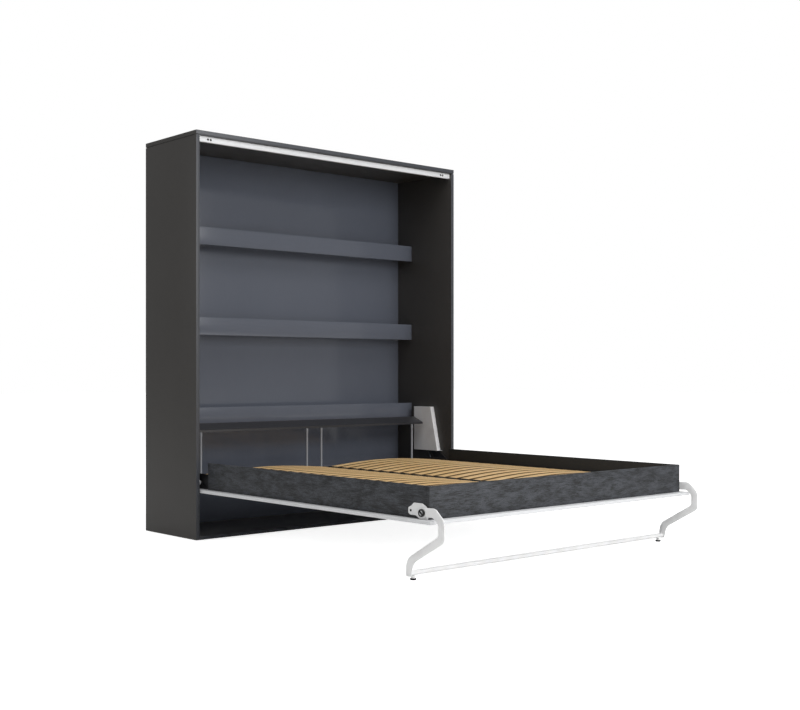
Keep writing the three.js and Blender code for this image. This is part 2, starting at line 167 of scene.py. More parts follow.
def slate_melamine(name, dark, light, plain):
    """Chipboard with a slate-look melamine face, pressed against a riven steel plate: mottled
    flakes of 10 to 40 mm, a little drawn out along the board, over grit of 2 to 3 mm. The large
    faces that look into the bed box are painted one plain dark tone: painted shade."""
    material, tree, place = new_material(name)
    along = add_node(tree, MAPPING, {"Scale": (0.5, 0.5, 1.4)}, {"Vector": place})
    warp = add_node(tree, NOISE, {"Scale": 9.0, "Detail": 2.0}, {"Vector": along}, "Color")
    pushed = add_node(tree, MIX, {"data_type": "VECTOR", 0: 0.06}, {4: along, 5: warp}, 1)
    cloud = add_node(tree, NOISE, {"Scale": 1 / (38 * MM), "Detail": 6.0, "Roughness": 0.62},
                     {"Vector": pushed})
    drawn = add_node(tree, MAPPING, {"Scale": (0.5, 0.5, 2.6)}, {"Vector": pushed})
    streak = add_node(tree, NOISE, {"Scale": 1 / (9 * MM), "Detail": 4.0, "Roughness": 0.7},
                      {"Vector": drawn})
    grit = add_node(tree, NOISE, {"Scale": 1 / (2.6 * MM), "Detail": 3.0, "Roughness": 0.7},
                    {"Vector": place})
    some_cloud = add_node(tree, MATHS, {"operation": "MULTIPLY", 1: 0.42}, {0: cloud})
    some_streak = add_node(tree, MATHS, {"operation": "MULTIPLY", 1: 0.58}, {0: streak})
    both = add_node(tree, MATHS, {"operation": "ADD"}, {0: some_cloud, 1: some_streak})
    flake = add_node(tree, RANGE, {"From Min": 0.43, "From Max": 0.58}, {"Value": both})
    base = add_node(tree, MIX, {"data_type": "RGBA", FIRST: dark, SECOND: light}, {0: flake}, MIXED)
    aside = add_node(tree, MATHS, {"operation": "SUBTRACT", 1: 0.52}, {0: streak})
    away = add_node(tree, MATHS, {"operation": "ABSOLUTE"}, {0: aside})
    vein = add_node(tree, RANGE, {"From Min": 0.0, "From Max": 0.02, "To Min": 0.5, "To Max": 0.0},
                    {"Value": away})
    veined = add_node(tree, MIX, {"data_type": "RGBA", SECOND: shade(light, 1.25)},
                      {0: vein, FIRST: base}, MIXED)
    speck = add_node(tree, RANGE, {"From Min": 0.46, "From Max": 0.62, "To Max": 0.7}, {"Value": grit})
    gritty = add_node(tree, MIX, {"data_type": "RGBA", SECOND: shade(dark, 0.6)},
                      {0: speck, FIRST: veined}, MIXED)
    # The faces that look into the bed box take one plain dark tone: painted shade.
    painted_shade_share = add_node(tree, ATTRIBUTE, {"attribute_name": "inside"}, out="Fac")
    tone = add_node(tree, MIX, {"data_type": "RGBA", SECOND: plain}, {0: painted_shade_share, FIRST: gritty}, MIXED)
    rough = add_node(tree, RANGE, {"From Min": 0.35, "From Max": 0.65, "To Min": 0.52, "To Max": 0.72},
                     {"Value": streak})
    some_grit = add_node(tree, MATHS, {"operation": "MULTIPLY", 1: 0.3}, {0: grit})
    height = add_node(tree, MATHS, {"operation": "ADD"}, {0: both, 1: some_grit})
    relief = add_node(tree, BUMP, {"Strength": 0.5, "Distance": 0.35 * MM}, {"Height": height})
    return surfaced(material, {"Roughness": 0.62},
                    {"Base Color": tone, "Roughness": rough, "Normal": relief})


def slat_seed(tree, place):
    """A random value and colour for each slat, from its row and its half of the bed."""
    pitch = bpy.context.scene.wall_bed_sizes.slat_pitch
    across = add_node(tree, "ShaderNodeSeparateXYZ", links={"Vector": place}, out="X")
    along = add_node(tree, "ShaderNodeSeparateXYZ", links={"Vector": place}, out="Y")
    rows = add_node(tree, MATHS, {"operation": "DIVIDE", 1: pitch}, {0: along})
    row = add_node(tree, MATHS, {"operation": "FLOOR"}, {0: rows})
    half = add_node(tree, MATHS, {"operation": "SIGN"}, {0: across})
    seed = add_node(tree, "ShaderNodeCombineXYZ", links={"X": row, "Y": half})
    return [add_node(tree, "ShaderNodeTexWhiteNoise", {"noise_dimensions": "3D"}, {"Vector": seed}, out)
            for out in ("Value", "Color")]


def cut_side_shade_and_glue(tree):
    """Where a slat's cut side shows, which is painted dark as the shade between slats, and where a
    glue line does: four plies lie between the slat's underside at 0 and its top at 1, and the lines
    keep clear of both faces."""
    ply = add_node(tree, ATTRIBUTE, {"attribute_name": "ply"}, out="Fac")
    plies = add_node(tree, MATHS, {"operation": "MULTIPLY", 1: 4.0}, {0: ply})
    in_ply = add_node(tree, MATHS, {"operation": "FRACT"}, {0: plies})
    off_middle = add_node(tree, MATHS, {"operation": "SUBTRACT", 1: 0.5}, {0: in_ply})
    layer = add_node(tree, MATHS, {"operation": "ABSOLUTE"}, {0: off_middle})
    line = add_node(tree, RANGE, {"From Min": 0.42, "From Max": 0.5, "To Max": 0.55}, {"Value": layer})
    off_centre = add_node(tree, MATHS, {"operation": "SUBTRACT", 1: 0.5}, {0: ply})
    depth = add_node(tree, MATHS, {"operation": "ABSOLUTE"}, {0: off_centre})
    clear = add_node(tree, MATHS, {"operation": "LESS_THAN", 1: 0.44}, {0: depth})
    glue = add_node(tree, MATHS, {"operation": "MULTIPLY"}, {0: line, 1: clear})
    above = add_node(tree, RANGE, {"From Min": 0.04, "From Max": 0.14}, {"Value": ply})
    below = add_node(tree, RANGE, {"From Min": 0.97, "From Max": 0.88}, {"Value": ply})
    return add_node(tree, MATHS, {"operation": "MULTIPLY"}, {0: above, 1: below}), glue


def beech_wood(name, pale, brown):
    """Laminated beech, sliced, glued, bent in a press and lacquered. Each slat has its own tone.
    The grain is drawn out along the slat in lines about 5 mm wide, over bands of 18 mm and with
    beech's short dark rays of 1 to 2 mm. The sides, where the plies are cut, are a little darker in
    themselves and are painted much darker over that, as painted shade of the gaps between slats;
    glue lines run between the plies."""
    material, tree, place = new_material(name)
    own_value, own_colour = slat_seed(tree, place)
    apart = add_node(tree, "ShaderNodeVectorMath", {"operation": "ADD"}, {0: place, 1: own_colour})
    patterns = []
    for draw, size, detail, roughness in ((0.05, 5, 5.0, 0.6), (0.03, 18, 3.0, 0.5), (0.35, 1.8, 1.0, 0.4)):
        drawn = add_node(tree, MAPPING, {"Scale": (draw, 1.0, 1.0)}, {"Vector": apart})
        patterns.append(add_node(tree, NOISE, {"Scale": 1 / (size * MM), "Detail": detail,
                                               "Roughness": roughness}, {"Vector": drawn}))
    grain, bands, rays = patterns
    share = add_node(tree, RANGE, {"From Min": 0.3, "From Max": 0.72}, {"Value": grain})
    tone = add_node(tree, MIX, {"data_type": "RGBA", FIRST: pale, SECOND: brown}, {0: share}, MIXED)
    for value, low, high, most, darker in ((bands, 0.4, 0.62, 0.4, 0.86), (rays, 0.62, 0.7, 0.38, 0.6),
                                           (own_value, 0.0, 1.0, 0.3, 0.88)):
        share = add_node(tree, RANGE, {"From Min": low, "From Max": high, "To Max": most}, {"Value": value})
        tone = add_node(tree, MIX, {"data_type": "RGBA", SECOND: shade(brown, darker)},
                        {0: share, FIRST: tone}, MIXED)
    side, glue = cut_side_shade_and_glue(tree)
    # The cut sides are painted dark brown: painted shade of the gaps between slats, over the plies' own
    # darker tone. The glue lines are the wood's own.
    for share, darker in ((side, 0.18), (glue, 0.1)):
        tone = add_node(tree, MIX, {"data_type": "RGBA", SECOND: shade(brown, darker)},
                        {0: share, FIRST: tone}, MIXED)
    rough = add_node(tree, RANGE, {"From Min": 0.3, "From Max": 0.7, "To Min": 0.34, "To Max": 0.5},
                     {"Value": grain})
    relief = add_node(tree, BUMP, {"Strength": 0.4, "Distance": 0.12 * MM}, {"Height": grain})
    return surfaced(material, {"Roughness": 0.4},
                    {"Base Color": tone, "Roughness": rough, "Normal": relief})


def clouded_finish(name, colour, shades, cloud, fine, bump, roughness, rough_from, metallic=0.0):
    """A finish with a slow cloud between two shades and a fine pattern in relief. The cloud is a
    size, a detail and the range that shows; the fine pattern is a size, a detail, a roughness and
    how far it is drawn out along Z; rough_from names the one that the gloss follows."""
    material, tree, place = new_material(name)
    size, detail, low, high = cloud
    clouds = add_node(tree, NOISE, {"Scale": 1 / (size * MM), "Detail": detail}, {"Vector": place})
    size, detail, grain, draw = fine
    drawn = add_node(tree, MAPPING, {"Scale": (1.0, 1.0, draw)}, {"Vector": place})
    lumps = add_node(tree, NOISE, {"Scale": 1 / (size * MM), "Detail": detail, "Roughness": grain},
                     {"Vector": drawn})
    share = add_node(tree, RANGE, {"From Min": low, "From Max": high}, {"Value": clouds})
    tone = add_node(tree, MIX, {"data_type": "RGBA", FIRST: shade(colour, shades[0]),
                                SECOND: shade(colour, shades[1])}, {0: share}, MIXED)
    even, least, most = roughness
    rough = add_node(tree, RANGE, {"From Min": 0.3, "From Max": 0.7, "To Min": least, "To Max": most},
                     {"Value": {"cloud": clouds, "fine": lumps}[rough_from]})
    depth, strength = bump
    relief = add_node(tree, BUMP, {"Strength": strength, "Distance": depth * MM}, {"Height": lumps})
    return surfaced(material, {"Roughness": even, "Metallic": metallic},
                    {"Base Color": tone, "Roughness": rough, "Normal": relief})


def powder_coat(name, colour, roughness):
    """Polyester powder baked on sheet or tube steel. It flows into a fine orange peel of 1 to
    2 mm lumps, gathers a little thicker and glossier in places, and hides every weld."""
    return clouded_finish(name, colour, (0.95, 1.04), (70, 2.0, 0.35, 0.65), (1.8, 1.5, 0.4, 1.0),
                          (0.06, 0.4), (roughness, roughness - 0.05, roughness + 0.07), "cloud")


def zinc_plate(name, colour):
    """Zinc-plated or nitrided steel: metal with a faint cloud and the fine lines of the rolled or
    drawn steel underneath, 1 mm apart here so that they show."""
    return clouded_finish(name, colour, (0.86, 1.0), (14, 3.0, 0.35, 0.65), (1.0, 2.0, 0.5, 0.04),
                          (0.02, 0.3), (0.32, 0.24, 0.42), "fine", 1.0)


def moulded_plastic(name, colour, roughness, grit):
    """Injection-moulded polyamide or rubber against a spark-eroded mould, which leaves an even
    matt grain of about 0.5 mm, drawn a little coarser."""
    return clouded_finish(name, colour, (0.9, 1.12), (30, 2.0, 0.3, 0.7), (grit, 2.0, 0.5, 1.0),
                          (0.06, 0.5), (roughness, roughness - 0.06, roughness + 0.06), "fine")


# Each finish: its maker, the panel's colours with how much lighter each is, and the maker's sizes.
# A melamine's second colour goes on the faces that look to the front: painted light from the front.
FINISHES = {
    "graphite_melamine": (melamine, (("graphite", 1.0), ("graphite_edge", 1.0)), (0.42,)),
    # The back board's and rails' colour: the cabinet's graphite painted lighter and bluer as light from the
    # front.
    "grey_melamine": (melamine, (("back_grey", 1.0), ("back_grey", 1.05)), (0.14,)),
    "dark_melamine": (melamine, (("head_board", 1.0), ("head_board", 1.9)), (0.4,)),
    "white_melamine": (melamine, (("door_white", 1.0), ("door_white", 1.0)), (0.32,)),
    "slate_melamine": (slate_melamine,
                       (("slate_dark", 1.0), ("slate_light", 1.0), ("box_inside", 1.0)), ()),
    "lacquered_beech": (beech_wood, (("beech_pale", 1.0), ("beech_brown", 1.0)), ()),
    "white_powder_coat": (powder_coat, (("leg_white", 1.0),), (0.38,)),
    "grey_powder_coat": (powder_coat, (("steel_grey", 1.0),), (0.42,)),
    "post_powder_coat": (powder_coat, (("post_grey", 1.0),), (0.4,)),
    "black_powder_coat": (powder_coat, (("steel_black", 1.0),), (0.45,)),
    "zinc_plated_steel": (zinc_plate, (("zinc", 1.0),), ()),
    "nitrided_steel": (zinc_plate, (("rod_grey", 1.0),), ()),
    "black_polyamide": (moulded_plastic, (("plastic_black", 1.0),), (0.5, 1.2)),
    "white_polyamide": (moulded_plastic, (("door_white", 1.0),), (0.4, 1.2)),
    "black_rubber": (moulded_plastic, (("plastic_black", 1.0),), (0.82, 1.6)),
}

MATERIALS = {}


def finish_of(name):
    """The bed's materials by name, each made once, in the colours of the panel."""
    if name not in MATERIALS:
        maker, tones, sizes = FINISHES[name]
        panel = bpy.context.scene.wall_bed_colours
        colours = [shade(tuple(getattr(panel, tone)), amount) for tone, amount in tones]
        MATERIALS[name] = maker(name, *colours, *sizes)
    return MATERIALS[name]


# --- Surfaces --------------------------------------------------------------------------------

def grid_quads(rows, columns):
    """The quads of a grid of points whose columns run round and close on themselves."""
    row, column = np.meshgrid(np.arange(rows - 1), np.arange(columns), indexing="ij")
    here = row * columns + column
    beside = row * columns + (column + 1) % columns
    return np.stack([here, beside, beside + columns, here + columns], -1).reshape(-1, 4)


def tube_walls(rings):
    """Points and faces of rings (row, column, xyz) joined in order, open at both ends."""
    rows, columns, _ = rings.shape
    return rings.reshape(-1, 3), grid_quads(rows, columns).tolist()


def tube_parts(rings):
    """The walls of the rings with a flat face over either end."""
    rows, columns, _ = rings.shape
    points, faces = tube_walls(rings)
    faces.append(np.arange(columns)[::-1].tolist())
    faces.append((np.arange(columns) + (rows - 1) * columns).tolist())
    return points, faces


def together(parts):
    """Several lots of points and faces as one."""
    points, faces, start = [], [], 0
    for some, their in parts:
        points.append(some)
        faces.extend([[start + corner for corner in face] for face in their])
        start += len(some)
    return np.concatenate(points), faces


def quarter(steps):
    """Angles from 0 to 90 degrees."""
    return np.linspace(0, math.pi / 2, steps + 1)


def board_rings(low, high, radius, steps=3):
    """A board with round edges. Along its longest side, near each end, the section shrinks by
    radius times (1 - sin a) while it is radius times (1 - cos a) from the end, for a from 0 to 90
    degrees; the section is a rectangle whose corners are quarter circles of radius times sin a."""
    low, high = np.array(low, float), np.array(high, float)
    size = high - low
    axis = int(np.argmax(size))
    across = [i for i in range(3) if i != axis]
    angle = quarter(steps)
    along = np.concatenate([radius * (1 - np.cos(angle)), size[axis] - radius * (1 - np.cos(angle[::-1]))])
    corner = np.concatenate([radius * np.sin(angle), radius * np.sin(angle[::-1])])
    turn = (np.arange(4)[:, None] * math.pi / 2 + angle).reshape(-1)
    signs = np.repeat(np.array([[1, 1], [-1, 1], [-1, -1], [1, -1]]), steps + 1, axis=0)
    half = size[across] / 2 - radius
    middle = (low + high)[across] / 2
    section = middle + signs * half
    rim = np.stack([np.cos(turn), np.sin(turn)], -1)
    rings = np.empty((len(along), len(turn), 3))
    rings[..., axis] = low[axis] + along[:, None]
    rings[..., across] = section[None] + corner[:, None, None] * rim[None]
    return rings


def offset_outline(outline, inset):
    """An anticlockwise outline moved inwards: each point along the normal of the chord between
    its two neighbours."""
    chord = np.roll(outline, -1, 0) - np.roll(outline, 1, 0)
    normal = np.stack([chord[:, 1], -chord[:, 0]], -1)
    normal /= np.linalg.norm(normal, axis=1)[:, None]
    return outline - normal * inset


def plate_rings(outline, start, end, radius, steps=2):
    """An outline in depth and height carried along X from start to end, drawn in by radius times
    (1 - sin a) at radius times (1 - cos a) from either face, which rounds both rims."""
    angle = quarter(steps)
    out = np.concatenate([start + radius * (1 - np.cos(angle)), end - radius * (1 - np.cos(angle[::-1]))])
    inset = np.concatenate([radius * (1 - np.sin(angle)), radius * (1 - np.sin(angle[::-1]))])
    rings = np.empty((len(out), len(outline), 3))
    for row, (x, step) in enumerate(zip(out, inset)):
        rings[row, :, 0] = x
        rings[row, :, 1:] = offset_outline(outline, step)
    return rings


def turned_rings(profile, sides=48):
    """A profile of (radius, distance) pairs turned about the X axis."""
    profile = np.array(profile, float)
    turn = np.linspace(0, 2 * math.pi, sides, endpoint=False)
    rings = np.empty((len(profile), sides, 3))
    rings[..., 0] = profile[:, 1][:, None]
    rings[..., 1] = profile[:, 0][:, None] * np.cos(turn)
    rings[..., 2] = profile[:, 0][:, None] * np.sin(turn)
    return rings


def turned_parts(profile, sides=48):
    """A turned piece. A profile whose last point is its first closes on itself, as a ring does;
    any other starts and ends on the axis."""
    rings = turned_rings(profile, sides)
    if np.allclose(profile[0], profile[-1]):
        return tube_walls(rings)
    return tube_parts(rings)


def arc_points(centre, radius, first, last, steps):
    """Points on a circle between two angles in degrees."""
    angle = np.radians(np.linspace(first, last, steps + 1))
    return np.stack([centre[0] + radius * np.cos(angle), centre[1] + radius * np.sin(angle)], -1)


def curve_points(first, handle, last, steps=8):
    """Points on the quadratic curve from first to last that is drawn towards its handle."""
    t = np.linspace(0, 1, steps + 1)[:, None]
    return ((1 - t) ** 2 * np.array(first) + 2 * t * (1 - t) * np.array(handle)
            + t ** 2 * np.array(last))


SAME_POINT = 1e-6


def without_repeats(outline):
    """The outline without points that lie on the one before."""
    step = np.linalg.norm(outline - np.roll(outline, 1, 0), axis=1)
    return outline[step > SAME_POINT]


# --- Pieces ----------------------------------------------------------------------------------

DOUBLED = 1e-6


def mesh_of(name, parts):
    """A mesh from points and faces."""
    points, faces = parts
    mesh = bpy.data.meshes.new(name)
    mesh.from_pydata(points.tolist(), [], faces)
    return mesh


@contextlib.contextmanager
def worked(mesh):
    """A mesh opened for work and closed after it."""
    work = bmesh.new()
    work.from_mesh(mesh)
    yield work
    work.to_mesh(mesh)
    work.free()


def new_piece(name, parts, material, body, replaced=()):
    """Makes a mesh piece from points and faces, merges doubled points, turns its faces outwards
    and settles it: its finish, the body it rides on, and the CAD nodes it stands for, which are hidden."""
    mesh = mesh_of(name, parts)
    with worked(mesh) as work:
        bmesh.ops.remove_doubles(work, verts=work.verts, dist=DOUBLED)
        bmesh.ops.recalc_face_normals(work, faces=work.faces)
    return settle(name, mesh, material, body, replaced)


# Degrees between two faces past which their edge is sharp.
SHARP = 38


def settle(name, mesh, material, body, replaced):
    """Links a finished mesh as a piece of the bed."""
    mesh.materials.clear()
    mesh.materials.append(finish_of(material))
    mesh.shade_smooth()
    mesh.set_sharp_from_angle(angle=math.radians(SHARP))
    piece = bpy.data.objects.new(name, mesh)
    bpy.context.scene.collection.objects.link(piece)
    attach(piece, body)
    if replaced:
        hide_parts(*replaced)
    return piece


def field(items, name):
    """A field of a mesh's faces or points, one row of three numbers for each."""
    values = np.empty(len(items) * 3)
    items.foreach_get(name, values)
    return values.reshape(-1, 3)


def store(mesh, name, domain, values):
    """Stores one number for each face or point, for a material to read."""
    layer = mesh.attributes.new(name, "FLOAT", domain)
    layer.data.foreach_set("value", values.astype(np.float32))


def paint_front_light_mask(mesh, thickness_axis):
    """Stores on each face whether it takes the painted light from the front: 1 on the faces of
    the board's edges that look to the front, 0 on its two large faces and its other edges."""
    normals = field(mesh.polygons, "normal")
    on_edge = np.abs(normals[:, thickness_axis]) < 0.5
    store(mesh, "edging", "FACE", on_edge & (normals[:, 1] < -0.5))


def mark_painted_box_shade(mesh, thickness_axis, middle_of_bed):
    """Stores on each face whether it is a large face that looks at the middle of the bed, where the slate
    material paints shade.
    """
    normal = field(mesh.polygons, "normal")[:, thickness_axis]
    inward = middle_of_bed[thickness_axis] - field(mesh.polygons, "center")[:, thickness_axis]
    store(mesh, "inside", "FACE", normal * np.sign(inward) > 0.5)


def board(name, node, material, body, radius=None):
    """A board with an edge band, painted lighter where it faces the front as light from the front,
    that takes the place of a plain CAD board.
    """
    low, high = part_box(node)
    radius = bpy.context.scene.wall_bed_sizes.board_edge if radius is None else radius
    piece = new_piece(name, tube_parts(board_rings(low, high, radius)), material, body, (node,))
    paint_front_light_mask(piece.data, int(np.argmin(np.array(high) - np.array(low))))
    return piece


def softened(node, name, material, body, width):
    """A copy of a sheet-steel node with its doubles merged, its flat faces made whole and its
    edges rounded, as bending and coating leave them."""
    mesh = frame["nodes"][node].data.copy()
    with worked(mesh) as work:
        bmesh.ops.remove_doubles(work, verts=work.verts, dist=1e-5)
        bmesh.ops.dissolve_limit(work, angle_limit=math.radians(1), verts=work.verts, edges=work.edges)
    piece = settle(name, mesh, material, body, (node,))
    bevel = piece.modifiers.new("rounded", "BEVEL")
    bevel.width = width
    bevel.segments = 2
    bevel.limit_method = "ANGLE"
    bevel.angle_limit = math.radians(40)
    return piece


def middle(node):
    """The middle of a CAD node's box."""
    low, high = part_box(node)
    return np.array((low + high) / 2)


def mirrored(points, sign):
    """Points made for the right side, moved to the side that the sign names."""
    return points * np.array([sign, 1, 1])


def plate_piece(name, outline, holes, span, radius, material, body, replaced):
    """A flat plate cut to an outline with holes: walls carried along X, then both faces filled
    between their rims."""
    loops = [outline] + [hole[::-1] for hole in holes]
    mesh = mesh_of(name, together([tube_walls(plate_rings(loop, *span, radius)) for loop in loops]))
    half = (span[0] + span[1]) / 2
    with worked(mesh) as work:
        rims = [edge for edge in work.edges if edge.is_boundary]
        for near in (True, False):
            rim = [edge for edge in rims if (edge.verts[0].co.x < half) == near]
            bmesh.ops.triangle_fill(work, use_beauty=True, edges=rim)
        bmesh.ops.recalc_face_normals(work, faces=work.faces)
    return settle(name, mesh, material, body, replaced)


# --- Sizes and colours of the panel -----------------------------------------------------------

def length(name, description, default, low=0.0):
    """A size in metres."""
    return FloatProperty(name=name, description=description, default=default, min=low,
                         subtype="DISTANCE", unit="LENGTH", precision=4)


def colour(name, description, text):
    """A colour from its sRGB hex value."""
    return FloatVectorProperty(name=name, description=description, default=linear(text),
                               size=4, min=0.0, max=1.0, subtype="COLOR")


class WallBedSizes(bpy.types.PropertyGroup):
    """Sizes that the looks need beside those of the frame."""

    board_edge: length("Board edge", "Radius of the boards' edge bands", 1.0 * MM)
    slat_count: IntProperty(name="Slats", description="Slats in each half", default=20, min=1)
    slat_pitch: length("Slat pitch", "From one slat to the next", 86 * MM)
    slat_width: length("Slat width", "Width of one slat", 56 * MM)
    slat_thickness: length("Slat thickness", "Thickness of one slat", 8 * MM)
    slat_edge: length("Slat edge", "Radius of a slat's long edges", 2.4 * MM)
    plate_edge: length("Plate edge", "Radius of the leg plates' rims", 0.9 * MM)


class WallBedColours(bpy.types.PropertyGroup):
    """Colours of the bed's finishes."""

    graphite: colour("Graphite", "Melamine of the cabinet's outside", "#393735")
    # Painted light: a lighter, bluer tone of the graphite for the faces that look to the front.
    graphite_edge: colour("Graphite edge", "Edge band of the cabinet's boards", "#3d3f44")
    # Painted light: the back board and rails are the cabinet's graphite, painted lighter and bluer as light
    # from the front.
    back_grey: colour("Back grey", "Melamine of the back board and rails", "#575b65")
    head_board: colour("Head board", "Melamine of the mattress stop", "#29292c")
    slate_dark: colour("Slate dark", "Darker tone of the bed box", "#101113")
    slate_light: colour("Slate light", "Lighter tone of the bed box", "#4b4e54")
    # Painted shade: one plain dark tone for the faces that look into the bed box.
    box_inside: colour("Box inside", "Plain melamine on the inside of the bed box", "#1b1b19")
    door_white: colour("Door white", "Door, strip and side caps", "#d8d9db")
    beech_pale: colour("Beech pale", "Lighter tone of the slats", "#f6d9a6")
    beech_brown: colour("Beech brown", "Darker tone of the slats", "#d2a667")
    leg_white: colour("Leg white", "Powder coat of the leg", "#f0f0f0")
    steel_grey: colour("Steel grey", "Powder coat of the covers and axle bushes", "#d5d5d7")
    post_grey: colour("Post grey", "Powder coat of the mattress stop's posts", "#7f8186")
    steel_black: colour("Steel black", "Powder coat of the hidden steel", "#202023")
    rod_grey: colour("Rod grey", "Nitrided rods of the gas springs", "#3f4145")
    zinc: colour("Zinc", "Zinc plating of brackets and slotted screws", "#c3c6c9")
    plastic_black: colour("Black plastic", "Feet, glides, slat caps, screws and bolt heads", "#0e0e0f")


# --- Cabinet ----------------------------------------------------------------------------------

class WALLBED_OT_cabinet(bpy.types.Operator):
    """Builds the cabinet's boards, its three rails and the white strip"""

    bl_idname = "wallbed.cabinet"
    bl_label = "Cabinet"

    def execute(self, context):
        for side, _ in SIDES:
            board(f"side_board_{side}", f"side_panel_{side}", "graphite_melamine", "cabinet")
        board("bottom_board", "bottom_panel", "graphite_melamine", "cabinet")
        # The back board and rails take the graphite painted lighter and bluer as light from the front.
        board("back_board", "back_panel", "grey_melamine", "cabinet")
        for height in ("upper", "middle", "lower"):
            board(f"back_rail_{height}", f"rail_{height}", "grey_melamine", "cabinet")
        board("white_strip", "front_strip", "white_melamine", "cabinet")
        self.top_board(context.scene.wall_bed_sizes.board_edge)
        return {"FINISHED"}

    def top_board(self, radius):
        """The top board and the thinner, narrower step under it that leaves a shadow line."""
        low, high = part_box("top_panel")
        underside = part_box("side_panel_left")[1].z + 4 * MM
        inset = 4 * MM
        top = board_rings((low.x, low.y, underside), high, radius)
        step = board_rings((low.x + inset, low.y + inset, low.z),
                           (high.x - inset, high.y - inset, underside + 1 * MM), 0.5 * MM)
        piece = new_piece("top_board", together([tube_parts(top), tube_parts(step)]),
                          "graphite_melamine", "cabinet", ("top_panel",))
        paint_front_light_mask(piece.data, 2)


# --- Fittings ---------------------------------------------------------------------------------

def placed(parts, centre, axes=(0, 1, 2)):
    """Parts with their axes taken in another cyclic order and moved to a centre."""
    points, faces = parts
    return points[:, list(axes)] + np.array(centre), faces


ABOUT_Y = (2, 0, 1)
ABOUT_Z = (1, 2, 0)


def upright(profile, sides, low, high):
    """A profile turned about Z on the middle of a box's underside."""
    centre = ((low.x + high.x) / 2, (low.y + high.y) / 2, low.z)
    return placed(turned_parts(profile, sides), centre, ABOUT_Z)


class WALLBED_OT_fittings(bpy.types.Operator):
    """Builds the strip's screws, the floor glides, the side caps and the wall brackets"""

    bl_idname = "wallbed.fittings"
    bl_label = "Fittings"

    def execute(self, context):
        for side, sign in SIDES:
            for place in ("inner", "outer"):
                self.screw(f"strip_screw_{side}_{place}")
            self.cap(side, sign)
            softened(f"wall_bracket_{side}", f"wall_angle_{side}", "zinc_plated_steel",
                     "cabinet", 0.6 * MM)
        for row, count in (("front", 4), ("rear", 2)):
            for number in range(count):
                self.glide(f"glide_{row}_{number + 1}")
        return {"FINISHED"}

    def screw(self, node):
        """A domed screw head with a round, flat-bottomed socket: a profile turned about Y."""
        low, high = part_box(node)
        radius, depth = (high.x - low.x) / 2, high.y - low.y
        profile = [(0, 0.7 * depth), (0.4 * radius, 0.7 * depth), (0.4 * radius, 0.1 * depth),
                   (0.5 * radius, 0), (0.85 * radius, 0.25 * depth), (radius, 0.7 * depth),
                   (radius, depth), (0, depth)]
        centre = ((low.x + high.x) / 2, low.y, (low.z + high.z) / 2)
        new_piece(node.replace("strip_screw", "screw_head"),
                  placed(turned_parts(profile, 24), centre, ABOUT_Y),
                  "black_rubber", "cabinet", (node,))

    def glide(self, node):
        """A moulded floor glide: a low cone with a step under its rim, turned about Z."""
        low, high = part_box(node)
        radius, height = (high.x - low.x) / 2, high.z - low.z
        profile = [(0, 0), (0.84 * radius, 0), (0.92 * radius, 0.12 * height),
                   (0.94 * radius, 0.5 * height), (0.99 * radius, 0.55 * height),
                   (radius, 0.7 * height), (radius, 0.95 * height), (0.96 * radius, height),
                   (0, height)]
        new_piece(node.replace("glide", "floor_glide"), upright(profile, 40, low, high),
                  "black_polyamide", "cabinet", (node,))

    def cap(self, side, sign):
        """A shallow push-in cap: its face is a dome, sagging as the square of the radius."""
        low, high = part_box(f"side_cap_{side}")
        radius, depth = (high.z - low.z) / 2, high.x - low.x
        out = np.linspace(0, 1, 7)
        dome = np.stack([radius * out, 0.35 * depth * out ** 2], -1)
        profile = [*dome.tolist(), (radius, depth), (0, depth)]
        points, faces = turned_parts(profile, 36)
        points = mirrored(points, sign)
        start = min(abs(low.x), abs(high.x)) * sign
        centre = (start, (low.y + high.y) / 2, (low.z + high.z) / 2)
        new_piece(f"cover_cap_{side}", placed((points, faces), centre),
                  "white_polyamide", "cabinet", (f"side_cap_{side}",))


# --- Folding mechanism ------------------------------------------------------------------------

def joint_named(name):
    """A joint of the frame by its name."""
    return next(joint for joint in frame["joints"] if joint["name"] == name)


